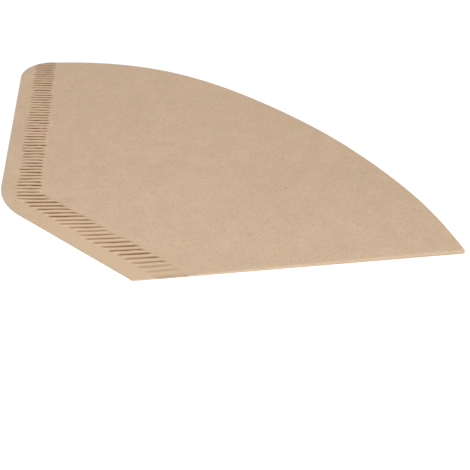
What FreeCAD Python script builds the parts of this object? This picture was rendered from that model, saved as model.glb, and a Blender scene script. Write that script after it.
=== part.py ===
import FreeCAD, Part
import math
import os

# Cone coffee filter in the 2 to 4 cup size, lying flat as it comes out of its pack.
# One sheet of kraft filter paper is folded over along the fold edge, and its two plies are
# pressed together by a crimped seam along the other side and along the bottom. The pocket
# between the plies is open at the curved mouth. Lengths are in millimetres, angles in degrees.
#
# The outline is drawn with the middle of the bottom edge at (0, 0) and the mouth towards +Y:
# the fold runs up the right-hand side and the side seam up the left-hand side.

# Driving dimensions: outline of the folded sheet
bottom_width = 50.0          # bottom edge, between its two corners before they are rounded
side_length = 93.5           # fold edge, from the bottom edge to the mouth
flare_angle = 42.0           # lean of the fold and of the side seam away from the middle line
mouth_radius = 158.0         # long arc of the mouth, from the fold to just past the middle
shoulder_radius = 111.0      # tighter arc that brings the mouth down to the side seam
shoulder_angle = 4.0         # where the shoulder starts, seen from the long arc's centre
shoulder_corner_radius = 10.8    # round corner between the shoulder and the side seam
bottom_corner_radius = 18.7      # round corner between the side seam and the bottom edge

# Driving dimensions: paper and seams
ply_thickness = 0.18         # one layer of the paper
crimp_margin = 4.7           # plain strip between the cut edge and the crimp marks
crimp_width = 6.0            # width of the crimped band
crimp_pitch = 1.65           # from one crimp mark to the next, along the side seam
crimp_depth = 0.24           # height of the crimp's wave, from valley to ridge
crimp_valley = 0.35          # flat floor of one crimp mark
crimp_flank = 0.30           # sloped stretch on each side of a mark, seen from above
pressed_strip = 0.5          # flat strip between the crimp marks and the open pocket

# Driving dimensions: how far the plies stand apart
mouth_gap = 2.7              # most that the two plies part, near the middle of the mouth
seam_gap = 0.06              # step where the plies part, right beside the seams
fold_gap_share = 0.45        # gap at the fold, as a share of the gap well away from it
seam_run = 46.0              # distance from the side seam over which the gap opens
bottom_run = 92.0            # distance from the bottom seam over which the gap opens
fold_run = 24.0              # distance from the fold over which the gap reaches its full size

# Construction values
panel_sections = 10          # steps between the sections that shape the pocket's plies
section_steps = 10           # steps along each section, away from the rounded fold
fold_facets = 6              # flats that turn the sheet round the fold
overlap = 1.0                # how far a cutting body runs past what it cuts
tall = 10.0                  # height of cutting bodies

seam_thickness = 2 * ply_thickness
flare = math.radians(flare_angle)


def point(x, y, z=0.0):
    return FreeCAD.Vector(x, y, z)


# Corners of the outline before rounding, and the directions of its straight edges
fold_corner = point(bottom_width / 2, 0)
seam_corner = point(-bottom_width / 2, 0)
fold_direction = point(math.sin(flare), math.cos(flare))
fold_inward = point(-math.cos(flare), math.sin(flare))
seam_direction = point(-math.sin(flare), math.cos(flare))
seam_inward = point(math.cos(flare), math.sin(flare))
mouth_corner = fold_corner + fold_direction * side_length
mouth_centre = point(0, mouth_corner.y - math.sqrt(mouth_radius ** 2 - mouth_corner.x ** 2))
crimp_edge = crimp_margin + crimp_width
pocket_edge = crimp_edge + pressed_strip


def arc_through_angles(centre, radius, start_angle, end_angle):
    """Arc about centre between two angles in radians, measured from +X."""
    middle_angle = (start_angle + end_angle) / 2
    on_arc = [centre + point(math.cos(angle), math.sin(angle)) * radius
              for angle in (start_angle, middle_angle, end_angle)]
    return Part.Arc(*on_arc).toShape()


def angle_of(vector):
    return math.atan2(vector.y, vector.x)


def outline_wire():
    """Closed outline of the folded sheet: fold, mouth, shoulder, side seam, bottom."""
    shoulder_start = math.pi / 2 + math.radians(shoulder_angle)
    shoulder_centre = mouth_centre + point(
        math.cos(shoulder_start), math.sin(shoulder_start)) * (mouth_radius - shoulder_radius)

    # The corner arc touches the shoulder arc from inside and the straight side seam, so its
    # centre is where a line beside the seam meets a circle about the shoulder's centre.
    line_start = seam_corner + seam_inward * shoulder_corner_radius
    to_line = line_start - shoulder_centre
    along = to_line.dot(seam_direction)
    reach = shoulder_radius - shoulder_corner_radius
    travel = -along + math.sqrt(along ** 2 - to_line.dot(to_line) + reach ** 2)
    corner_centre = line_start + seam_direction * travel
    shoulder_end = angle_of(corner_centre - shoulder_centre)
    seam_top = corner_centre - seam_inward * shoulder_corner_radius
    seam_normal_angle = math.pi + angle_of(seam_inward)

    # The bottom corner is a plain fillet between two straight edges.
    bottom_turn = math.pi / 2 - flare
    bottom_tangent = bottom_corner_radius * math.tan(bottom_turn / 2)
    seam_foot = seam_corner + seam_direction * bottom_tangent
    bottom_start = seam_corner + point(bottom_tangent, 0)
    bottom_centre = bottom_start + point(0, bottom_corner_radius)

    edges = [
        Part.makeLine(fold_corner, mouth_corner),
        arc_through_angles(mouth_centre, mouth_radius,
                           angle_of(mouth_corner - mouth_centre), shoulder_start),
        arc_through_angles(shoulder_centre, shoulder_radius, shoulder_start, shoulder_end),
        arc_through_angles(corner_centre, shoulder_corner_radius,
                           shoulder_end, seam_normal_angle),
        Part.makeLine(seam_top, seam_foot),
        arc_through_angles(bottom_centre, bottom_corner_radius,
                           seam_normal_angle, 1.5 * math.pi),
        Part.makeLine(bottom_start, fold_corner),
    ]
    return Part.Wire(edges)


def prism(wire, bottom, top):
    """Upright body over a closed plan wire, from one height to another."""
    face = Part.Face(wire)
    face.translate(point(0, 0, bottom))
    return face.extrude(point(0, 0, top - bottom))


def seam_offset_corner(distance):
    """Where the lines that run at a distance inside the side seam and the bottom edge meet."""
    x = seam_corner.x + distance * (1 - math.sin(flare)) / math.cos(flare)
    return point(x, distance)


def region_inside_seams(distance):
    """Plan wire of everything further in than a distance from the two seamed edges."""
    corner = seam_offset_corner(distance)
    beyond_fold = point(2 * mouth_corner.x, distance)
    beyond_mouth = point(2 * mouth_corner.x, 2 * mouth_radius)
    seam_end = corner + seam_direction * (2 * mouth_radius)
    return Part.makePolygon([corner, beyond_fold, beyond_mouth, seam_end, corner])


def opening_share(distance, run):
    """Rise from 0 at a seam to 1 at the end of its run: a quarter sine, steepest at the seam."""
    share = min(max(distance / run, 0.0), 1.0)
    return math.sin(share * math.pi / 2)


def upper_face_height(x, y):
    """Height of the upper ply's outer face above the table, away from the rounded fold."""
    place = point(x, y)
    from_seam = (place - seam_corner).dot(seam_inward) - pocket_edge
    from_bottom = y - pocket_edge
    from_fold = (place - fold_corner).dot(fold_inward)
    spread = opening_share(from_seam, seam_run) * opening_share(from_bottom, bottom_run)
    at_fold = fold_gap_share + (1 - fold_gap_share) * opening_share(from_fold, fold_run)
    return seam_thickness + seam_gap + mouth_gap * spread * at_fold


def fold_bend(foot, inward, height, inset):
    """Points of a half circle that turns the sheet round the fold, from the table upwards.

    The half circle is as high as the folded sheet is there, less the inset from its faces.
    Seen square to the fold it is round, so a section across it at a slant is drawn wider.
    """
    radius = height / 2
    slant = 1 / inward.dot(fold_inward)
    turns = [math.pi * (step / fold_facets - 0.5) for step in range(fold_facets + 1)]
    return [foot + inward * (slant * (radius - (radius - inset) * math.cos(turn)))
            + point(0, 0, radius + (radius - inset) * math.sin(turn)) for turn in turns]


def panel_section(y, inset):
    """Closed section of the pocket's plies, straight across from the fold to the side seam.

    It turns round the fold and then follows the upper ply. The inset moves it inwards from
    the sheet's outer faces. It runs on below the table, where it is cut off.
    """
    inward = point(-1, 0)
    foot = point(bottom_width / 2 + y * math.tan(flare), y)
    seam_end = point(pocket_edge / math.cos(flare) - overlap - foot.x, y)
    bend = fold_bend(foot, inward, upper_face_height(foot.x, foot.y), inset)
    first_x = bend[-1].x
    ply = [bend[-1]]
    for step in range(1, section_steps + 1):
        x = first_x + (seam_end.x - first_x) * step / section_steps
        ply.append(point(x, y, upper_face_height(x, y) - inset))
    ply_curve = Part.BSplineCurve()
    ply_curve.interpolate(ply)

    start = point(first_x, y, -overlap)
    end = point(seam_end.x, y, -overlap)
    edges = [Part.makeLine(start, bend[0])]
    edges += [Part.makeLine(low, high) for low, high in zip(bend, bend[1:])]
    edges += [ply_curve.toShape(), Part.makeLine(ply[-1], end), Part.makeLine(end, start)]
    return Part.Wire(edges)


def under_upper_ply(inset):
    """Body of everything below the upper ply and inside the fold, moved in by an inset."""
    first = pocket_edge - overlap
    last = mouth_centre.y + mouth_radius + overlap
    heights = [first + (last - first) * step / panel_sections
               for step in range(panel_sections + 1)]
    return Part.makeLoft([panel_section(y, inset) for y in heights], True, False)


def pressed_sheet():
    """Both plies pressed flat on each other and turned round the fold, past the outline."""
    first = fold_direction.dot(seam_corner - fold_corner) - overlap
    foot = fold_corner + fold_direction * first
    across = fold_inward.dot(seam_corner + seam_direction * side_length - foot) + overlap
    bend = fold_bend(foot, fold_inward, seam_thickness, 0)
    far = [foot + fold_inward * across + point(0, 0, height) for height in (seam_thickness, 0)]
    section = Part.Face(Part.makePolygon(bend + far + [bend[0]]))
    return section.extrude(fold_direction * (2 * mouth_radius))


def crimped_slab():
    """Both plies pressed into one wave, whose marks run square to the side seam.

    The wave's profile lies along the side seam: a flat valley that touches the table, a
    flank, a flat ridge and a flank, repeated, and as thick as two plies everywhere.
    """
    first = (fold_corner - seam_corner).dot(seam_direction) - overlap
    last = (mouth_centre - seam_corner).dot(seam_direction) + mouth_radius + overlap
    valleys = range(math.floor(first / crimp_pitch), math.ceil(last / crimp_pitch) + 1)
    turns = []
    for number in valleys:
        middle = number * crimp_pitch
        turns.append((middle - crimp_valley / 2 - crimp_flank, crimp_depth))
        turns.append((middle - crimp_valley / 2, 0.0))
        turns.append((middle + crimp_valley / 2, 0.0))
        turns.append((middle + crimp_valley / 2 + crimp_flank, crimp_depth))
    under = [seam_corner + seam_direction * along + point(0, 0, height)
             for along, height in turns]
    over = [corner + point(0, 0, seam_thickness) for corner in reversed(under)]
    profile = Part.Face(Part.makePolygon(under + over + [under[0]]))
    width = bottom_width + 2 * crimp_edge
    return profile.extrude(seam_inward * width)


def plan_inside(distance):
    """Upright body over the part of the outline that lies inside its seamed edges."""
    return prism(region_inside_seams(distance), 0, tall).common(prism(outline_wire(), 0, tall))


def filter_sheet():
    panel_plan = plan_inside(pocket_edge)
    band_plan = plan_inside(crimp_margin).cut(plan_inside(crimp_edge))

    # On both sides of the crimp marks, the seams are two plies pressed flat on each other.
    flat = pressed_sheet().common(prism(outline_wire(), 0, tall)).cut(panel_plan).cut(band_plan)
    seams = flat.fuse(crimped_slab().common(band_plan))

    # The panel is a low pillow, hollowed by the pocket that opens at the mouth.
    pocket_plan = prism(region_inside_seams(pocket_edge), ply_thickness, tall)
    pocket = under_upper_ply(ply_thickness).common(pocket_plan)
    panel = under_upper_ply(0).common(panel_plan).cut(pocket)
    return panel.fuse(seams).removeSplitter()


def centred(shape):
    """Move the sheet so that the middle of its outline's box is over the origin."""
    box = Part.Face(outline_wire()).BoundBox
    shape.translate(point(-box.Center.x, -box.Center.y))
    return shape


os.makedirs("parts", exist_ok=True)
sheet = centred(filter_sheet())
sheet.exportStep("parts/filter_sheet.step")
print("solids", len(sheet.Solids), "valid", sheet.isValid(), "volume mm3", round(sheet.Volume, 1))
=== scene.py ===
"""Paper coffee filter, folded flat: one sheet of kraft paper with crimped seams.

The sheet is one surface. Its upper ply turns round the fold and comes back as the lower ply,
and both plies are pressed into one wave along the seams. The plan is drawn with the middle of
the bottom edge at (0, 0) and the mouth towards +Y: the fold is on the right, the side seam on
the left. Lengths are in metres.
"""
import math

import bpy
import numpy as np
from bpy.props import FloatProperty, FloatVectorProperty, IntProperty, PointerProperty
from mathutils import Matrix, Vector


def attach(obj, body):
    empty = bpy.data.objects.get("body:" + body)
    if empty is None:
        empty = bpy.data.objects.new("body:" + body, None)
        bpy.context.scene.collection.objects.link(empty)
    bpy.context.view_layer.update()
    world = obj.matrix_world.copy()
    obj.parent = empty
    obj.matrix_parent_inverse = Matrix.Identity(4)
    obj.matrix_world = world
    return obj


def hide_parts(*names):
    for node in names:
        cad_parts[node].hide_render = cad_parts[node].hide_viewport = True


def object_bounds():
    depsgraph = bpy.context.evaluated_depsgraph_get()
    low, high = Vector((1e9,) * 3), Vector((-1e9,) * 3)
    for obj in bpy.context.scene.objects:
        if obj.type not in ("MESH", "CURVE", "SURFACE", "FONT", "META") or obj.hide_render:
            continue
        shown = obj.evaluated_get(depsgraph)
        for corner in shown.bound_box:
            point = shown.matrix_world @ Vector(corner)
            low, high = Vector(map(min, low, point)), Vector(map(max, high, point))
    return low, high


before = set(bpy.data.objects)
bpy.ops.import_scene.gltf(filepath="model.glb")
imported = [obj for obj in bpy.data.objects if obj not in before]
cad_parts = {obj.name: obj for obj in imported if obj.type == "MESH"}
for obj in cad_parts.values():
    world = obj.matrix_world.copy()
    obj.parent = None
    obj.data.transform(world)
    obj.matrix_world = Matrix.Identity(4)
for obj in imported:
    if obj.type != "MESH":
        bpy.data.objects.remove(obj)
CAD_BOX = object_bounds()

bl_info = {
    "name": "Paper coffee filter",
    "version": (1, 0, 0),
    "blender": (4, 5, 0),
    "location": "3D View > Sidebar > Coffee filter",
    "description": "A flat-folded cone filter of kraft paper with crimped seams",
    "category": "Add Mesh",
}

MM = 0.001
TINY = 1e-9

# Pocket: the small step beside the seams rises over a run. The open ply has slight waves, each
# with a length, a bearing in degrees and a phase.
STEP_RUN = 1.5 * MM
WAVES = ((61 * MM, 20.0, 0.4), (43 * MM, 75.0, 2.1), (34 * MM, 130.0, 4.0))

# Crimp marks: each has four draws for the whole mark and one for each of its parts. Its ends
# spread by a distance and rise over a run, and the paper inside them stays puckered.
WHOLE_DRAWS = 4
MARK_PARTS = 5
END_SPREAD = 0.45 * MM
ENVELOPE_RUN = 0.9 * MM
PUCKER_RUN = 1.2 * MM
PUCKER_SHARE = 0.16
PATCH_SHIFT = 0.24
RIDGE_RANGE = (0.7, 1.0)
VALLEY_POWER = 3

# The marks' colour, partly burnished paper and partly painted shade in the valleys: its range
# from mark to mark, along a mark and from its outer end to its inner end. Marks along the bottom
# are paler by a share and turn by a part of a pitch.
TONE_POWER = 1.6
TONE_RANGE = (0.58, 0.85)
PATCH_RANGE = (0.55, 1.2)
ACROSS_RANGE = (0.9, 1.1)
BOTTOM_PALER = 0.12
PALER_RUN = 1 / 3
MARK_TURN = 0.6
TURN_RUN = 45.0 * MM

# The marks fade at the fold and towards the mouth, where an even smudge is left. The paper is
# scorched in patches on the fold.
FOLD_FADE = 9.0 * MM
FOLD_START = 0.06
FOLD_BURN = 0.9 * MM
FOLD_BURN_SHARE = 0.35
BEND_BURN_RANGE = (0.1, 0.55)
MOUTH_FADE = 20.0 * MM
MOUTH_RANGE = (0.4, 1.0)
MOUTH_SMUDGE = 0.16

# Painted highlight on the margin: full outside the marks, a little of it inside them, and along
# the bottom only.
MARGIN_HIGHLIGHT_RUN = 1.2 * MM
MARGIN_HIGHLIGHT_START = 9.0 * MM
MARGIN_HIGHLIGHT_LENGTH = 16.0 * MM
MARGIN_HIGHLIGHT_RANGE = (0.3, 1.0)

# Mesh: rows beside the edges, at distances inside them, then one row with fewer columns.
ROW_DISTANCES = np.array([0.0, 0.25, 1.5, 3.0, 3.9, 4.3, 4.6, 4.9, 5.3, 6.0, 7.0, 8.0, 9.0,
                          9.8, 10.3, 10.6, 10.9, 11.3, 11.9, 12.6]) * MM
COARSE_DISTANCE = 13.4 * MM
COARSE_EVERY = 4
DRAW_IN_REACH = 3
SHARP_ANGLE = math.radians(60)

# Paper's colour: how far the painted highlight on the bottom margin, the painted highlight on the
# ridges and the marks, partly burnished paper and partly painted shade, take their own colours.
MARGIN_HIGHLIGHT_SHARE = 0.85
RIDGE_HIGHLIGHT_SHARE = 0.65
MARK_AND_SHADE_SHARE = 1.45
CUT_EDGE_SHARE = 0.6

# Paper's grain: two layers of fibres, each with a turn and a shift, and ranges of the patterns
# over which the colour changes. A fleck is shown where its cell's own value is high.
FIBRE_LAYERS = ((-1.0, 0.0), (0.35, 0.3))
FIBRE_STRETCH = 1.8
CLOUD_RANGE = (0.35, 0.7)
DARK_RANGE = (0.52, 0.33)
DARK_SHARE = 0.75
RAGGED_RANGE = (0.35, 0.65)
RAGGED_EDGE = 0.012
FLECK_RANGE = (0.7, 1.0)
FLECK_SHARE = 0.7

# Paper's surface: strength and height of the raised fibres, roughness and gloss, on the faces
# and on the cut edge.
FACE_FIBRES = (0.5, 0.02 * MM)
FACE_HEIGHTS = (0.3, 0.7)
FACE_ROUGHNESS = (0.86, 0.96)
FACE_GLOSS = 0.25
EDGE_FIBRES = (0.8, 0.04 * MM)
EDGE_ROUGHNESS = 0.95
EDGE_GLOSS = 0.15

# Camera: it looks down at the middle of the view from the lower right, and its focal length is
# in pixels of the picture.
PICTURE_WIDTH = 470
SENSOR_WIDTH = 36.0
CLIP_START = 10.0 * MM
CAMERA_ELEVATION = math.radians(38.39)
CAMERA_BEARING = math.radians(31.68)
CAMERA_ROLL = math.radians(6.25)
CAMERA_DISTANCE = 232.6 * MM
CAMERA_FOCUS = 830.6
VIEW_MIDDLE = (33.68 * MM, 33.23 * MM)

# Floor and light: the floor's glow is seen by the camera only. The front lamp is near, so its
# light falls off from the fold to the mouth.
FLOOR_DROP = 0.02 * MM
FLOOR_RADIUS = 1.5
FLOOR_CORNERS = 96
FLOOR_GLOW = 0.22
SUN_STRENGTH = 1.8
SUN_WIDTH = math.radians(25)
SUN_FROM = Vector((0.75, -0.35, 1.0))
FRONT_PLACE = Vector((0.095, -0.23, 0.2))
FRONT_POWER = 0.32
FRONT_SIZE = 0.15
SURROUND_LIGHT = 0.4
WHITE = (1.0, 1.0, 1.0, 1.0)


def millimetres(name, description, value):
    """A length that is written in millimetres and kept in metres."""
    return FloatProperty(name=name, description=description, default=value * MM,
                         unit="LENGTH", precision=5)


def degrees(name, description, value):
    """An angle that is written in degrees and kept in radians."""
    return FloatProperty(name=name, description=description, default=math.radians(value),
                         subtype="ANGLE")


def share_of_one(name, description, value):
    """A share between 0 and 1."""
    return FloatProperty(name=name, description=description, default=value,
                         min=0.0, max=1.0, subtype="FACTOR")


def screen_colour(name, description, red, green, blue):
    """A colour written as screen values from 0 to 255 and kept as linear values."""
    linear = [((value / 255 + 0.055) / 1.055) ** 2.4 for value in (red, green, blue)]
    return FloatVectorProperty(name=name, description=description, default=linear,
                               size=3, min=0.0, max=1.0, subtype="COLOR")


class FilterSizes(bpy.types.PropertyGroup):
    bottom_width: millimetres("Bottom width", "Bottom edge between its unrounded corners", 50.0)
    side_length: millimetres("Side length", "Fold edge from the bottom edge to the mouth", 93.5)
    flare: degrees("Flare", "Lean of the fold and of the side seam", 42.0)
    mouth_radius: millimetres("Mouth radius", "Long arc of the mouth", 158.0)
    shoulder_radius: millimetres("Shoulder radius", "Arc down to the side seam", 111.0)
    shoulder_angle: degrees("Shoulder angle", "Where the shoulder starts on the long arc", 4.0)
    shoulder_corner: millimetres("Shoulder corner", "Round corner at the side seam's top", 10.8)
    bottom_corner: millimetres("Bottom corner", "Round corner at the side seam's foot", 18.7)
    ply: millimetres("Ply", "Thickness of one layer of paper", 0.18)
    paper_share: share_of_one("Paper share", "Paper's share of the room for one ply", 0.94)
    crimp_margin: millimetres("Crimp margin", "Plain strip outside the crimp marks", 4.7)
    crimp_width: millimetres("Crimp width", "Width of the crimped band", 6.0)
    crimp_pitch: millimetres("Crimp pitch", "From one crimp mark to the next", 1.65)
    crimp_depth: millimetres("Crimp depth", "Height of the crimp's wave", 0.24)
    flat_strip: millimetres("Pressed strip", "Flat strip between crimp and pocket", 0.5)
    mouth_gap: millimetres("Mouth gap", "Most that the two plies part", 2.7)
    seam_gap: millimetres("Seam gap", "Step where the plies part beside the seams", 0.06)
    fold_gap_share: share_of_one("Fold gap share", "Gap at the fold, as a share", 0.45)
    seam_run: millimetres("Seam run", "Distance over which the gap opens from the side", 46.0)
    bottom_run: millimetres("Bottom run", "Distance over which it opens from the bottom", 92.0)
    fold_run: millimetres("Fold run", "Distance over which it opens from the fold", 24.0)
    waviness: millimetres("Waviness", "Slight unevenness of the open ply", 0.10)


class FilterColours(bpy.types.PropertyGroup):
    paper: screen_colour("Paper", "Unbleached kraft paper", 196, 171, 144)
    paper_light: screen_colour("Light fibres", "Paler patches of the paper", 202, 176, 149)
    paper_dark: screen_colour("Dark fibres", "Deeper patches of the paper", 180, 153, 125)
    fleck: screen_colour("Flecks", "Small dark specks of bark in the paper", 148, 116, 86)
    # Partly burnished paper and partly painted shade in the crimp valleys.
    valley_burnish_and_shade: screen_colour("Crimp valleys", "Paper burnished in the marks", 104, 70, 36)
    # Painted highlight: a paler colour laid on the margin along the bottom.
    pressed: screen_colour("Pressed strip", "Smooth paler strip along the bottom", 203, 176, 147)
    # Painted highlight on the crimp ridges.
    ridge_highlight: screen_colour("Crimp ridges", "Paper stretched between the marks", 220, 188, 157)
    cut_edge: screen_colour("Cut edge", "Bare fibres along the cut", 192, 166, 138)
    floor: screen_colour("Floor", "Plain pale floor", 240, 240, 240)


class FilterDetail(bpy.types.PropertyGroup):
    columns_per_mark: IntProperty(name="Columns per mark", default=8, min=8, step=4,
                                  description="Mesh columns across one crimp mark")
    fold_steps: IntProperty(name="Fold steps", default=8, min=4,
                            description="Mesh columns round the half circle of the fold")
    seed: IntProperty(name="Seed", default=7, description="Start of the random draws")


class Outline:
    """Plan of the folded sheet: its corners, the directions of its edges and its arcs."""

    def __init__(self, sizes):
        self.sizes = sizes
        self.sin = math.sin(sizes.flare)
        self.cos = math.cos(sizes.flare)
        half = sizes.bottom_width / 2
        self.fold_corner = np.array([half, 0.0])
        self.seam_corner = np.array([-half, 0.0])
        self.fold_direction = np.array([self.sin, self.cos])
        self.fold_inward = np.array([-self.cos, self.sin])
        self.seam_direction = np.array([-self.sin, self.cos])
        self.seam_inward = np.array([self.cos, self.sin])
        self.mouth_corner = self.fold_corner + self.fold_direction * sizes.side_length
        drop = math.sqrt(sizes.mouth_radius ** 2 - self.mouth_corner[0] ** 2)
        self.mouth_centre = np.array([0.0, self.mouth_corner[1] - drop])
        self.pocket_edge = sizes.crimp_margin + sizes.crimp_width + sizes.flat_strip

        # The shoulder arc touches the long arc from inside, and the corner arc touches the
        # shoulder arc from inside and the straight side seam.
        self.shoulder_start = math.pi / 2 + sizes.shoulder_angle
        towards = np.array([math.cos(self.shoulder_start), math.sin(self.shoulder_start)])
        self.shoulder_centre = self.mouth_centre + towards * (
            sizes.mouth_radius - sizes.shoulder_radius)
        line_start = self.seam_corner + self.seam_inward * sizes.shoulder_corner
        to_line = line_start - self.shoulder_centre
        along = to_line @ self.seam_direction
        reach = sizes.shoulder_radius - sizes.shoulder_corner
        travel = -along + math.sqrt(along ** 2 - to_line @ to_line + reach ** 2)
        self.corner_centre = line_start + self.seam_direction * travel
        corner_end = self.shoulder_centre + (
            self.corner_centre - self.shoulder_centre) * sizes.shoulder_radius / reach
        shoulder_end = self.mouth_centre + towards * sizes.mouth_radius
        self.corner_across = self.across(corner_end)
        self.shoulder_across = self.across(shoulder_end)

    def along(self, place):
        """Distance along the side seam from its lower corner."""
        return (place - self.seam_corner) @ self.seam_direction

    def across(self, place):
        """Distance inside the side seam."""
        return (place - self.seam_corner) @ self.seam_inward

    def place(self, along, across):
        """Plan point at a distance along the side seam and a distance inside it."""
        return (self.seam_corner + along[..., None] * self.seam_direction
                + across[..., None] * self.seam_inward)

    def mouth_end(self, across):
        """Where a line inside the side seam reaches the mouth, measured along the seam.

        On an arc it is the centre's place plus the square root of the radius squared less the
        distance from the centre across the line squared. Corner, shoulder and long arc follow.
        """
        ends = []
        for centre, radius in ((self.corner_centre, self.sizes.shoulder_corner),
                               (self.shoulder_centre, self.sizes.shoulder_radius),
                               (self.mouth_centre, self.sizes.mouth_radius)):
            off = across - self.across(centre)
            ends.append(self.along(centre) + np.sqrt(np.maximum(radius ** 2 - off ** 2, 0.0)))
        return np.where(across < self.corner_across, ends[0],
                        np.where(across < self.shoulder_across, ends[1], ends[2]))

    def fold_foot(self, height):
        """Point on the fold's outer line at a height above the bottom edge."""
        x = self.fold_corner[0] + height * self.sin / self.cos
        return np.stack([x, height], axis=-1)

    def seam_mitre(self, distance):
        """Where the two seams' lines at a distance inside the edges meet, along the seam."""
        return distance * (1 - self.sin) / self.cos

    def corner_cut(self, along):
        """How far the round bottom corner cuts into the two straight edges, across the seam.

        The arc's centre is one radius inside both edges, so the cut is the radius less the
        square root of radius squared less the place along squared, less the edge itself.
        """
        radius = self.sizes.bottom_corner
        tangent = radius * math.tan((math.pi / 2 - self.sizes.flare) / 2)
        off = np.clip(along - tangent, -radius, 0.0)
        arc = radius - np.sqrt(radius ** 2 - off ** 2)
        edge = np.maximum(0.0, -along * self.cos / self.sin)
        return np.where(along > -tangent * self.sin, np.maximum(arc - edge, 0.0), 0.0)

    def mouth_line(self, start, end, count):
        """Points evenly spaced along the shoulder arc and the long arc, from left to right."""
        sizes = self.sizes
        from_shoulder = start - self.shoulder_centre
        first = math.atan2(from_shoulder[1], from_shoulder[0])
        from_mouth = end - self.mouth_centre
        last = math.atan2(from_mouth[1], from_mouth[0])
        on_shoulder = sizes.shoulder_radius * (first - self.shoulder_start)
        on_mouth = sizes.mouth_radius * (self.shoulder_start - last)
        run = np.linspace(0.0, on_shoulder + on_mouth, count)
        turn = first - run / sizes.shoulder_radius
        shoulder = self.shoulder_centre + sizes.shoulder_radius * np.stack(
            [np.cos(turn), np.sin(turn)], axis=-1)
        turn = self.shoulder_start - (run - on_shoulder) / sizes.mouth_radius
        mouth = self.mouth_centre + sizes.mouth_radius * np.stack(
            [np.cos(turn), np.sin(turn)], axis=-1)
        points = np.where((run < on_shoulder)[:, None], shoulder, mouth)
        points[0] = start
        points[-1] = end
        return points


def smooth_step(value):
    """Rise from 0 to 1, level at both ends: 3 t squared less 2 t cubed."""
    t = np.clip(value, 0.0, 1.0)
    return t * t * (3 - 2 * t)


def opening_share(distance, run):
    """Rise from 0 to 1 over a run: a quarter sine, steepest at the seam."""
    return np.sin(np.clip(distance / run, 0.0, 1.0) * math.pi / 2)


def fold_height(outline, height):
    """Height of the folded sheet at the fold: seams pressed flat, then the pocket's gap."""
    sizes = outline.sizes
    foot = outline.fold_foot(height)
    from_bottom = height - outline.pocket_edge
    spread = (opening_share(outline.across(foot) - outline.pocket_edge, sizes.seam_run)
              * opening_share(from_bottom, sizes.bottom_run))
    step = sizes.seam_gap * smooth_step(from_bottom / STEP_RUN)
    return 2 * sizes.ply + step + sizes.mouth_gap * spread * sizes.fold_gap_share


def pocket_height(outline, place):
    """Height of the upper ply's outer face where it isn't crimped.

    It is the two plies, a small step beside the seams, and the gap: the mouth gap times the
    quarter sines from the side seam and from the bottom, less near the fold, plus slight waves.
    """
    sizes = outline.sizes
    from_seam = outline.across(place) - outline.pocket_edge
    from_bottom = place[..., 1] - outline.pocket_edge
    bend = fold_height(outline, place[..., 1]) / 2
    from_fold = (place - outline.fold_corner) @ outline.fold_inward - bend
    spread = (opening_share(from_seam, sizes.seam_run)
              * opening_share(from_bottom, sizes.bottom_run))
    at_fold = sizes.fold_gap_share + (1 - sizes.fold_gap_share) * opening_share(
        from_fold, sizes.fold_run)
    step = sizes.seam_gap * smooth_step(np.minimum(from_seam, from_bottom) / STEP_RUN)
    waves = sizes.waviness * spread * opening_share(from_fold, sizes.fold_run) * uneven(place)
    return 2 * sizes.ply + step + sizes.mouth_gap * spread * at_fold + waves


def uneven(place):
    """Long sine waves in three directions, shifted down so that they never rise above 0."""
    total = np.zeros(place.shape[:-1])
    for length, bearing, phase in WAVES:
        turn = math.radians(bearing)
        run = place[..., 0] * math.cos(turn) + place[..., 1] * math.sin(turn)
        total += np.sin(2 * math.pi * run / length + phase) - 1
    return total / len(WAVES)


def between(bounds, share):
    """Value at a share of the way from the first bound to the second."""
    return bounds[0] + (bounds[1] - bounds[0]) * share


def band_share(sizes, distance, outer_end=0.0, inner_end=0.0):
    """1 in the crimped band and 0 outside it, with its two ends moved by a distance each."""
    past_outer = distance - sizes.crimp_margin - outer_end
    past_inner = sizes.crimp_margin + sizes.crimp_width + inner_end - distance
    return (smooth_step(0.5 + past_outer / ENVELOPE_RUN)
            * smooth_step(0.5 + past_inner / ENVELOPE_RUN))


def mark_draws(phase, share, detail):
    """Random shares of each crimp mark, blended from one mark to the next.

    They are its height, its darkness, the places of its outer and inner end, and its patches,
    which also differ from part to part along the mark.
    """
    first = math.floor(phase.min())
    count = math.ceil(phase.max()) - first + 1
    draws = np.random.default_rng(detail.seed).uniform(
        0.0, 1.0, (WHOLE_DRAWS + MARK_PARTS, count))
    drawn = [np.interp(phase, first + np.arange(count), row) for row in draws]
    place = share * (MARK_PARTS - 1)
    patches = sum(part * np.maximum(0.0, 1.0 - np.abs(place - index))
                  for index, part in enumerate(drawn[WHOLE_DRAWS:]))
    return (*drawn[:WHOLE_DRAWS], patches)


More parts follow.
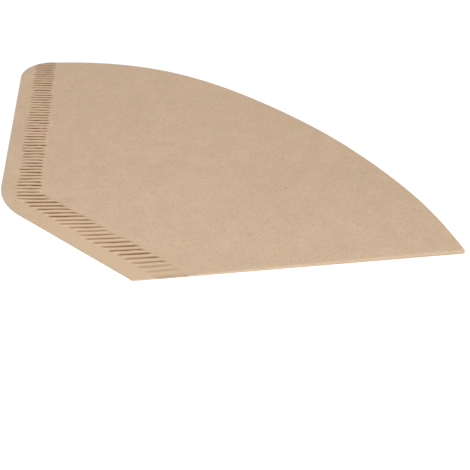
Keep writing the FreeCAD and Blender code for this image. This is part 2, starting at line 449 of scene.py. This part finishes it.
def crimp(outline, along, distance, detail):
    """The crimp's wave: how far it lifts the paper, how dark a mark is and how high a ridge.

    The wave is a raised cosine along the side seam, one per pitch. A ridge is 1 less its cube,
    times the band and the mark's own height, and it also sets a painted highlight on the ridges.
    A mark is dark by a lower power of it, times the tones of the mark, its patches and its
    length;
    the darkness is partly burnished paper and partly painted shade in the valleys. Past the mitre
    of the seams the marks turn slightly, and all of them fade at the fold and towards the mouth.
    """
    sizes = outline.sizes
    share = (distance - sizes.crimp_margin) / sizes.crimp_width
    phase = along / sizes.crimp_pitch
    height, darkness, outer, inner, patches = mark_draws(phase, share, detail)

    band_middle = np.array(sizes.crimp_margin + sizes.crimp_width / 2)
    from_mouth = smooth_step((outline.mouth_end(band_middle) - along) / MOUTH_FADE)
    from_fold = along - fold_end(outline, distance)
    fade = smooth_step(from_fold / FOLD_FADE + FOLD_START) * between(MOUTH_RANGE, from_mouth)
    past_mitre = smooth_step((outline.seam_mitre(distance) - along) / TURN_RUN)
    phase = phase + PATCH_SHIFT * (patches - 0.5) - MARK_TURN * past_mitre * (share - 0.5)
    wave = 0.5 + 0.5 * np.cos(2 * math.pi * phase)

    inner_end = END_SPREAD * 2 * inner
    band = band_share(sizes, distance, END_SPREAD * (2 * outer - 1), inner_end)
    past_band = distance - sizes.crimp_margin - sizes.crimp_width - inner_end
    pucker = (PUCKER_SHARE * smooth_step(0.5 + past_band / ENVELOPE_RUN)
              * smooth_step(1 - past_band / PUCKER_RUN))
    ridge = (band + pucker) * (1 - wave ** VALLEY_POWER) * between(RIDGE_RANGE, height) * fade

    tone = (between(TONE_RANGE, darkness) * between(PATCH_RANGE, patches)
            * between(ACROSS_RANGE, share))
    tone = tone * (1 - BOTTOM_PALER * smooth_step(past_mitre / PALER_RUN))
    smudge = MOUTH_SMUDGE * (1 - from_mouth)
    burn = FOLD_BURN_SHARE * patches * smooth_step(1 - from_fold / FOLD_BURN)
    mark = np.clip(band * (wave ** TONE_POWER * tone * fade + smudge + burn), 0.0, 1.0)
    # The mark darkens the valleys, partly burnished paper and partly painted shade; the ridge
    # also sets a painted highlight on the ridges.
    return sizes.crimp_depth * ridge, mark, ridge


def flat_strip(outline, along, distance):
    """Painted highlight: how pale the margin is painted, most outside the marks, along the
    bottom.
    """
    outside = smooth_step(
        (outline.sizes.crimp_margin + MARGIN_HIGHLIGHT_RUN - distance) / (2 * MARGIN_HIGHLIGHT_RUN))
    past_mitre = outline.seam_mitre(distance) - MARGIN_HIGHLIGHT_START - along
    return between(MARGIN_HIGHLIGHT_RANGE, outside) * smooth_step(0.5 + past_mitre / MARGIN_HIGHLIGHT_LENGTH)


def drawn_in(along, longest, end, side):
    """Columns drawn in to a row's own end.

    A column moves back by the row's shortfall times the square of a ramp, which rises from 0
    to 1 over a reach of three shortfalls before the longest row's end.
    """
    shortfall = side * (longest - end)
    reach = DRAW_IN_REACH * shortfall + TINY
    ramp = np.clip(1 - side * (longest - along) / reach, 0.0, 1.0)
    return along - side * shortfall * ramp ** 2


def fold_end(outline, distance):
    """Where a row beside the bottom edge meets the fold's bend, measured along the seam."""
    bend = fold_height(outline, distance) / 2
    place = outline.fold_foot(distance)
    place[..., 0] -= bend / outline.cos
    return outline.along(place)


def seam_rows(outline, distances, columns):
    """Places along the seam and across it, of rows that keep a distance inside both edges.

    Beside the side seam a row is a straight line across = distance. Beside the bottom edge it
    is across = (distance less along times cosine) over sine. Near the round corner the
    outermost rows bend inwards with it.
    """
    distance = distances[:, None]
    along = drawn_in(columns[None, :], columns[-1], outline.mouth_end(distance), 1)
    along = drawn_in(along, columns[0], fold_end(outline, distance), -1)
    across = np.maximum(distance, (distance - along * outline.cos) / outline.sin)
    margin = np.clip(1 - distance / outline.sizes.crimp_margin, 0.0, 1.0)
    return along, across + margin * outline.corner_cut(along)


def coons_patch(bottom, top, left, right):
    """Grid between four edges: the two straight blends less the blend of the four corners."""
    u = np.linspace(0.0, 1.0, len(bottom))[None, :, None]
    v = np.linspace(0.0, 1.0, len(left))[:, None, None]
    up = (1 - v) * bottom[None] + v * top[None]
    over = (1 - u) * left[:, None] + u * right[:, None]
    corners = ((1 - u) * (1 - v) * bottom[0] + u * (1 - v) * bottom[-1]
               + (1 - u) * v * top[0] + u * v * top[-1])
    return up + over - corners


def grid_quads(index, turned=False):
    """Quads of a grid of vertex numbers, facing the other way round where it is turned."""
    corners = [index[:-1, :-1], index[:-1, 1:], index[1:, 1:], index[1:, :-1]]
    if turned:
        corners.reverse()
    return np.stack(corners, axis=-1).reshape(-1, 4)


class SheetPlan:
    """Plan of one ply: fine rows along the seams, a coarser row, and the open panel."""

    def __init__(self, outline, detail):
        self.outline = outline
        step = outline.sizes.crimp_pitch / detail.columns_per_mark
        spread = np.append(ROW_DISTANCES, COARSE_DISTANCE)
        first = math.floor(fold_end(outline, spread).min() / step)
        last = math.ceil(outline.mouth_end(spread).max() / step)
        last += -(last - first) % COARSE_EVERY
        columns = np.arange(first, last + 1) * step
        self.along, across = seam_rows(outline, ROW_DISTANCES, columns)
        self.seam = outline.place(self.along, across)

        coarse = seam_rows(outline, np.array([COARSE_DISTANCE]), columns[::COARSE_EVERY])
        self.coarse = outline.place(*coarse)[0]
        mitre = int(np.argmin(np.abs(coarse[0][0] - outline.seam_mitre(COARSE_DISTANCE))))
        self.mitre = mitre
        left = self.coarse[mitre:]
        bottom = self.coarse[mitre::-1]

        # The panel's right-hand edge is where the sheet starts to bend round the fold.
        heights = np.linspace(COARSE_DISTANCE, outline.mouth_corner[1], len(left))
        right = self.bend_start(heights)
        top = outline.mouth_line(left[-1], right[-1], len(bottom))
        self.panel = coons_patch(bottom, top, left, right)
        self.fold_heights = np.concatenate([ROW_DISTANCES, heights])

    def bend_section(self, heights):
        """Direction across the fold and how much it slants, at heights above the bottom edge.

        The direction turns from straight across at the panel's foot to the mouth's own slope.
        """
        outline = self.outline
        at_corner = outline.mouth_corner - outline.mouth_centre
        along_mouth = np.array([-at_corner[1], at_corner[0]]) / np.hypot(*at_corner)
        rise = (heights - COARSE_DISTANCE) / (outline.mouth_corner[1] - COARSE_DISTANCE)
        blend = np.clip(rise, 0.0, 1.0)[:, None] ** 2
        direction = (1 - blend) * np.array([-1.0, 0.0]) + blend * along_mouth
        direction /= np.linalg.norm(direction, axis=1)[:, None]
        return direction, 1 / (direction @ outline.fold_inward)

    def bend_start(self, heights):
        """Where the upper ply starts to bend round the fold."""
        direction, slant = self.bend_section(heights)
        bend = fold_height(self.outline, heights) / 2
        return self.outline.fold_foot(heights) + direction * (slant * bend)[:, None]


def numbered_ply(plan, start):
    """Vertex numbers of one ply, from a first number on: seam rows, coarse row and panel."""
    rows, columns = plan.along.shape
    seam = start + np.arange(rows * columns).reshape(rows, columns)
    coarse = start + seam.size + np.arange(len(plan.coarse))
    inner_start = coarse[-1] + 1
    up, over = plan.panel.shape[:2]
    panel = np.empty((up, over), int)
    panel[0] = coarse[plan.mitre::-1]
    panel[:, 0] = coarse[plan.mitre:]
    panel[1:, 1:] = inner_start + np.arange((up - 1) * (over - 1)).reshape(up - 1, over - 1)
    return seam, coarse, panel


def ply_faces(seam, coarse, panel, turned):
    """Faces of one ply: quads, and fans of triangles from the fine columns to the coarse."""
    fine = seam[-1]
    low, high = coarse[:-1], coarse[1:]
    steps = [fine[offset:len(fine) - COARSE_EVERY + offset:COARSE_EVERY]
             for offset in range(COARSE_EVERY)] + [fine[COARSE_EVERY::COARSE_EVERY]]
    fans = [(steps[0], low, steps[1]), (steps[1], low, steps[2]), (steps[2], low, high),
            (steps[2], high, steps[3]), (steps[3], high, steps[4])]
    triangles = np.concatenate([np.stack(fan, axis=-1) for fan in fans])
    if turned:
        triangles = triangles[:, ::-1]
    quads = np.concatenate([grid_quads(seam, not turned), grid_quads(panel, turned)])
    return quads.tolist() + triangles.tolist()


def sheet_surface(outline, detail):
    """Middle surface of the whole sheet: both plies and the half circle round the fold."""
    sizes = outline.sizes
    plan = SheetPlan(outline, detail)
    distance = np.broadcast_to(ROW_DISTANCES[:, None], plan.along.shape)
    panel = plan.panel[1:, 1:].reshape(-1, 2)
    flat = np.concatenate([plan.seam.reshape(-1, 2), plan.coarse, panel])
    rest = np.zeros(len(flat) - plan.along.size)
    # The last share is a painted highlight on the margin along the bottom.
    lift, mark, ridge, pressed = [
        np.append(values.ravel(), rest)
        for values in (*crimp(outline, plan.along, distance, detail),
                       flat_strip(outline, plan.along, distance))]

    upper = np.column_stack([flat, pocket_height(outline, flat) + lift - sizes.ply / 2])
    lower = np.column_stack([flat, lift + sizes.ply / 2])
    upper_ply = numbered_ply(plan, 0)
    lower_ply = numbered_ply(plan, len(flat))

    # Round the fold, a half circle as high as the folded sheet joins the two plies.
    edge = np.concatenate([upper_ply[0][:, 0], [upper_ply[1][0]], upper_ply[2][1:, -1]])
    heights = plan.fold_heights
    direction, slant = plan.bend_section(heights)
    foot = outline.fold_foot(heights)
    radius = fold_height(outline, heights) / 2
    turns = np.linspace(math.pi / 2, -math.pi / 2, detail.fold_steps + 1)[1:-1]
    inner = radius - sizes.ply / 2
    reach = (radius - inner * np.cos(turns)[:, None]) * slant
    top = upper[edge, 2]
    middle = (top + sizes.ply / 2) / 2
    bend = np.empty((len(turns), len(edge), 3))
    bend[..., :2] = foot + direction * reach[..., None]
    bend[..., 2] = middle + (top - middle) * np.sin(turns)[:, None]
    bend_numbers = 2 * len(flat) + np.arange(bend[..., 0].size).reshape(bend.shape[:2])
    ring = np.concatenate([edge[None], bend_numbers, (edge + len(flat))[None]])

    faces = ply_faces(*upper_ply, False) + ply_faces(*lower_ply, True)
    faces += grid_quads(ring, True).tolist()
    points = np.concatenate([upper, lower, bend.reshape(-1, 3)])
    points[:, 0] += CAD_BOX[1][0] - outline.mouth_corner[0]
    points[:, 1] += CAD_BOX[0][1]

    # The lower ply's outer face shows the wave from below, so its ridges are the marks there.
    bent = np.zeros(bend_numbers.size)
    burn = np.random.default_rng(detail.seed + 1).uniform(*BEND_BURN_RANGE, len(edge))
    burn = np.tile(burn * band_share(sizes, heights), len(turns))
    # Colour masks: marks of burnished paper with painted shade in the valleys, a painted
    # highlight on the ridges and a painted highlight on the margin along the bottom.
    marks = {
        "valley_mark_and_shade": np.concatenate([mark, ridge ** VALLEY_POWER, burn]),
        "ridge_highlight": np.concatenate([ridge, mark, bent]),
        "pressed": np.concatenate([pressed, pressed, bent]),
    }
    return points, faces, marks


def solid_sheet(name, points, faces, marks, thickness, materials):
    """Object with the surface thickened evenly on both sides, its cut edges kept sharp."""
    mesh = bpy.data.meshes.new(name)
    mesh.from_pydata(points.tolist(), [], faces)
    for key, values in marks.items():
        attribute = mesh.attributes.new(key, "FLOAT", "POINT")
        attribute.data.foreach_set("value", values.astype(np.float32))
    for material in materials:
        mesh.materials.append(material)
    mesh.polygons.foreach_set("use_smooth", np.ones(len(mesh.polygons), bool))
    draft = bpy.data.objects.new(name + "_draft", mesh)
    bpy.context.scene.collection.objects.link(draft)
    wall = draft.modifiers.new("Paper thickness", "SOLIDIFY")
    wall.thickness = thickness
    wall.offset = 0.0
    wall.use_even_offset = True
    wall.material_offset_rim = 1
    depsgraph = bpy.context.evaluated_depsgraph_get()
    finished = bpy.data.meshes.new_from_object(draft.evaluated_get(depsgraph))
    bpy.data.objects.remove(draft)
    bpy.data.meshes.remove(mesh)
    finished.name = name
    finished.set_sharp_from_angle(angle=SHARP_ANGLE)
    piece = bpy.data.objects.new(name, finished)
    bpy.context.scene.collection.objects.link(piece)
    return piece


class Graph:
    """Short way to add nodes and links to a material, a world or a node group."""

    def __init__(self, tree):
        self.tree = tree

    def add(self, kind, inputs=None, **values):
        """Node with its plain settings and its inputs, each a number or another socket."""
        node = self.tree.nodes.new(kind)
        for key, value in values.items():
            setattr(node, key, value)
        for key, value in (inputs or {}).items():
            if isinstance(value, bpy.types.NodeSocket):
                self.tree.links.new(value, node.inputs[key])
            else:
                node.inputs[key].default_value = value
        return node

    def maths(self, operation, first, second=0.0, clamp=False):
        """Result of one operation on two values."""
        node = self.add("ShaderNodeMath", {0: first, 1: second},
                        operation=operation, use_clamp=clamp)
        return node.outputs[0]

    def mix(self, share, first, second):
        """Blend of two colours."""
        node = self.add("ShaderNodeMix", {"Factor": share, "A": first, "B": second},
                        data_type="RGBA")
        return node.outputs["Result"]

    def rise(self, value, low, high, bottom=0.0, top=1.0):
        """Value carried from one range to another and held at its ends."""
        node = self.add("ShaderNodeMapRange", {
            "Value": value, "From Min": low, "From Max": high, "To Min": bottom, "To Max": top})
        return node.outputs["Result"]

    def seen(self):
        """1 where the camera sees it, in a mirror or through glass too, and 0 for its light."""
        rays = self.add("ShaderNodeLightPath").outputs
        direct = self.maths("ADD", rays["Is Camera Ray"], rays["Is Glossy Ray"], True)
        return self.maths("ADD", direct, rays["Is Transmission Ray"], True)


def rgba(colour):
    """Colour with a full alpha."""
    return (*colour, 1.0)


def kraft_paper_group(colours):
    """Node group of the bare paper: its colour and the height of its fibres.

    Soft patches some millimetres wide lie under short fibres in two directions, and a few
    cells of a wide pattern hold one small dark fleck each.
    """
    group = bpy.data.node_groups.new("Kraft paper", "ShaderNodeTree")
    face = group.interface
    face.new_socket("Place", in_out="INPUT", socket_type="NodeSocketVector")
    for name, default in (("Cloud scale", 190.0), ("Fibre scale", 1700.0),
                          ("Fleck scale", 70.0), ("Fleck size", 0.02)):
        socket = face.new_socket(name, in_out="INPUT", socket_type="NodeSocketFloat")
        socket.default_value = default
    face.new_socket("Colour", in_out="OUTPUT", socket_type="NodeSocketColor")
    face.new_socket("Height", in_out="OUTPUT", socket_type="NodeSocketFloat")
    graph = Graph(group)
    given = graph.add("NodeGroupInput").outputs

    clouds = graph.add("ShaderNodeTexNoise", {
        "Vector": given["Place"], "Scale": given["Cloud scale"], "Detail": 3.0,
        "Roughness": 0.55}).outputs["Fac"]
    fibres = []
    for turn, shift in FIBRE_LAYERS:
        stretched = graph.add("ShaderNodeMapping", {
            "Vector": given["Place"], "Location": (shift, shift, 0.0),
            "Rotation": (0.0, 0.0, turn), "Scale": (1.0, FIBRE_STRETCH, 1.0)},
            vector_type="TEXTURE")
        fibres.append(graph.add("ShaderNodeTexNoise", {
            "Vector": stretched.outputs[0], "Scale": given["Fibre scale"], "Detail": 4.0,
            "Roughness": 0.6, "Distortion": 0.6}).outputs["Fac"])
    weave = graph.maths("MULTIPLY", graph.maths("ADD", *fibres), 0.5)

    cells = graph.add("ShaderNodeTexVoronoi", {
        "Vector": given["Place"], "Scale": given["Fleck scale"]}, voronoi_dimensions="2D")
    chosen = graph.add("ShaderNodeSeparateColor", {"Color": cells.outputs["Color"]})
    ragged = graph.maths("ADD", cells.outputs["Distance"],
                         graph.rise(weave, *RAGGED_RANGE, -RAGGED_EDGE, RAGGED_EDGE))
    spot = graph.maths("LESS_THAN", ragged, given["Fleck size"])
    shown = graph.rise(chosen.outputs["Red"], *FLECK_RANGE, top=FLECK_SHARE)
    fleck = graph.maths("MULTIPLY", spot, shown)

    colour = graph.mix(graph.rise(clouds, *CLOUD_RANGE), rgba(colours.paper),
                       rgba(colours.paper_light))
    colour = graph.mix(graph.rise(weave, *DARK_RANGE, top=DARK_SHARE), colour,
                       rgba(colours.paper_dark))
    colour = graph.mix(fleck, colour, rgba(colours.fleck))
    graph.add("NodeGroupOutput", {"Colour": colour, "Height": weave})
    return group


def empty_graph(owner):
    """Node tree of a material or a world, cleared for its own nodes."""
    owner.use_nodes = True
    owner.node_tree.nodes.clear()
    return Graph(owner.node_tree)


def bare_paper(graph, group):
    """Colour and fibre height of the bare paper at each place on the object."""
    place = graph.add("ShaderNodeTexCoord").outputs["Object"]
    paper = graph.add("ShaderNodeGroup", {"Place": place}, node_tree=group).outputs
    return paper["Colour"], paper["Height"]


def matt_surface(graph, colour, height, fibres, roughness, gloss):
    """Matt shader over raised fibres, which have a strength and a height."""
    strength, distance = fibres
    bump = graph.add("ShaderNodeBump", {
        "Strength": strength, "Distance": distance, "Height": height})
    shader = graph.add("ShaderNodeBsdfPrincipled", {
        "Base Color": colour, "Normal": bump.outputs["Normal"], "Roughness": roughness,
        "Specular IOR Level": gloss})
    graph.add("ShaderNodeOutputMaterial", {"Surface": shader.outputs[0]})


def paper_material(group, colours):
    """Kraft paper: marks of burnished paper and painted shade, painted ridge and margin
    highlights.
    """
    material = bpy.data.materials.new("Kraft filter paper")
    graph = empty_graph(material)
    colour, height = bare_paper(graph, group)
    # Painted highlights on the bottom margin and the crimp ridges, then the marks: burnished
    # paper and painted shade in the valleys.
    for attribute, share, tint in (("pressed", MARGIN_HIGHLIGHT_SHARE, colours.pressed),
                                   ("ridge_highlight", RIDGE_HIGHLIGHT_SHARE, colours.ridge_highlight),
                                   ("valley_mark_and_shade", MARK_AND_SHADE_SHARE, colours.valley_burnish_and_shade)):
        where = graph.add("ShaderNodeAttribute", attribute_name=attribute).outputs["Fac"]
        colour = graph.mix(graph.maths("MULTIPLY", where, share, True), colour, rgba(tint))
    roughness = graph.rise(height, *FACE_HEIGHTS, *FACE_ROUGHNESS)
    matt_surface(graph, colour, height, FACE_FIBRES, roughness, FACE_GLOSS)
    return material


def cut_edge_material(group, colours):
    """Cut edge of the paper: bare fibres, a little rougher than the faces."""
    material = bpy.data.materials.new("Cut paper edge")
    graph = empty_graph(material)
    colour, height = bare_paper(graph, group)
    colour = graph.mix(CUT_EDGE_SHARE, colour, rgba(colours.cut_edge))
    matt_surface(graph, colour, height, EDGE_FIBRES, EDGE_ROUGHNESS, EDGE_GLOSS)
    return material


class COFFEEFILTER_OT_paper_sheet(bpy.types.Operator):
    """Build the folded sheet of filter paper with its crimped seams"""
    bl_idname = "coffee_filter.paper_sheet"
    bl_label = "Folded paper sheet"
    bl_options = {"REGISTER", "UNDO"}

    def execute(self, context):
        scene = context.scene
        outline = Outline(scene.filter_sizes)
        points, faces, marks = sheet_surface(outline, scene.filter_detail)
        group = kraft_paper_group(scene.filter_colours)
        materials = [paper_material(group, scene.filter_colours),
                     cut_edge_material(group, scene.filter_colours)]
        sizes = scene.filter_sizes
        piece = solid_sheet("kraft_paper_sheet", points, faces, marks,
                            sizes.ply * sizes.paper_share, materials)
        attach(piece, "root")
        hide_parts("filter_sheet")
        return {"FINISHED"}


def add_camera(outline):
    """Camera on a ray from the view's middle, turned by its roll, with a long lens."""
    back = Vector((math.sin(CAMERA_BEARING) * math.cos(CAMERA_ELEVATION),
                   -math.cos(CAMERA_BEARING) * math.cos(CAMERA_ELEVATION),
                   math.sin(CAMERA_ELEVATION)))
    middle = Vector((VIEW_MIDDLE[0] + CAD_BOX[1][0] - outline.mouth_corner[0],
                     VIEW_MIDDLE[1] + CAD_BOX[0][1], 0.0))
    right = Vector((0.0, 0.0, 1.0)).cross(back).normalized()
    up = back.cross(right)
    turned_right = right * math.cos(CAMERA_ROLL) + up * math.sin(CAMERA_ROLL)
    turned_up = up * math.cos(CAMERA_ROLL) - right * math.sin(CAMERA_ROLL)
    data = bpy.data.cameras.new("Camera")
    data.sensor_width = SENSOR_WIDTH
    data.lens = CAMERA_FOCUS / PICTURE_WIDTH * SENSOR_WIDTH
    data.clip_start = CLIP_START
    camera = bpy.data.objects.new("Camera", data)
    turn = Matrix((turned_right, turned_up, back)).transposed()
    camera.matrix_world = Matrix.Translation(middle + back * CAMERA_DISTANCE) @ turn.to_4x4()
    bpy.context.scene.collection.objects.link(camera)
    bpy.context.scene.camera = camera


def add_floor(colours):
    """Round pale floor just under the object, shown brighter than it lights the object."""
    turns = np.linspace(0.0, 2 * math.pi, FLOOR_CORNERS, endpoint=False)
    rim = np.column_stack([np.cos(turns) * FLOOR_RADIUS, np.sin(turns) * FLOOR_RADIUS,
                           np.full(FLOOR_CORNERS, -FLOOR_DROP)])
    mesh = bpy.data.meshes.new("floor")
    mesh.from_pydata(rim.tolist(), [], [list(range(FLOOR_CORNERS))])
    material = bpy.data.materials.new("Pale floor")
    graph = empty_graph(material)
    shader = graph.add("ShaderNodeBsdfPrincipled", {
        "Base Color": rgba(colours.floor), "Roughness": 0.9, "Emission Color": WHITE,
        "Emission Strength": graph.maths("MULTIPLY", graph.seen(), FLOOR_GLOW)})
    graph.add("ShaderNodeOutputMaterial", {"Surface": shader.outputs[0]})
    mesh.materials.append(material)
    floor = bpy.data.objects.new("floor", mesh)
    bpy.context.scene.collection.objects.link(floor)


def add_lamp(light, place, towards):
    """Lamp at a place that shines from a direction."""
    lamp = bpy.data.objects.new(light.name, light)
    turn = towards.to_track_quat("Z", "Y").to_matrix().to_4x4()
    lamp.matrix_world = Matrix.Translation(place) @ turn
    lamp.visible_camera = False
    bpy.context.scene.collection.objects.link(lamp)


def add_lights():
    """A wide soft sun from the right, a near lamp in front and an even white surround."""
    sun = bpy.data.lights.new("Soft sun", "SUN")
    sun.energy = SUN_STRENGTH
    sun.angle = SUN_WIDTH
    add_lamp(sun, Vector(), SUN_FROM)

    front = bpy.data.lights.new("Front lamp", "AREA")
    front.shape = "DISK"
    front.size = FRONT_SIZE
    front.energy = FRONT_POWER
    add_lamp(front, FRONT_PLACE, FRONT_PLACE)

    world = bpy.data.worlds.new("White surround")
    graph = empty_graph(world)
    background = graph.add("ShaderNodeBackground", {
        "Color": WHITE, "Strength": graph.rise(graph.seen(), 0.0, 1.0, bottom=SURROUND_LIGHT)})
    graph.add("ShaderNodeOutputWorld", {"Surface": background.outputs[0]})
    bpy.context.scene.world = world


class COFFEEFILTER_OT_stage(bpy.types.Operator):
    """Set up the floor, the light and the camera"""
    bl_idname = "coffee_filter.stage"
    bl_label = "Floor, light and camera"
    bl_options = {"REGISTER", "UNDO"}

    def execute(self, context):
        scene = context.scene
        scene.view_settings.view_transform = "Standard"
        add_floor(scene.filter_colours)
        add_lights()
        add_camera(Outline(scene.filter_sizes))
        return {"FINISHED"}


class COFFEEFILTER_PT_panel(bpy.types.Panel):
    """Sidebar panel with the sizes, the colours and the two steps"""
    bl_idname = "COFFEEFILTER_PT_panel"
    bl_label = "Paper coffee filter"
    bl_space_type = "VIEW_3D"
    bl_region_type = "UI"
    bl_category = "Coffee filter"

    def draw(self, context):
        layout = self.layout
        scene = context.scene
        for group in (scene.filter_sizes, scene.filter_colours, scene.filter_detail):
            box = layout.box()
            for name in group.__annotations__:
                box.prop(group, name)
        layout.operator(COFFEEFILTER_OT_paper_sheet.bl_idname)
        layout.operator(COFFEEFILTER_OT_stage.bl_idname)


CLASSES = (FilterSizes, FilterColours, FilterDetail, COFFEEFILTER_OT_paper_sheet,
           COFFEEFILTER_OT_stage, COFFEEFILTER_PT_panel)


def register():
    for item in CLASSES:
        bpy.utils.register_class(item)
    bpy.types.Scene.filter_sizes = PointerProperty(type=FilterSizes)
    bpy.types.Scene.filter_colours = PointerProperty(type=FilterColours)
    bpy.types.Scene.filter_detail = PointerProperty(type=FilterDetail)


def unregister():
    del bpy.types.Scene.filter_detail
    del bpy.types.Scene.filter_colours
    del bpy.types.Scene.filter_sizes
    for item in reversed(CLASSES):
        bpy.utils.unregister_class(item)


def main():
    register()
    bpy.ops.coffee_filter.paper_sheet()
    bpy.ops.coffee_filter.stage()


if __name__ == "__main__":
    main()
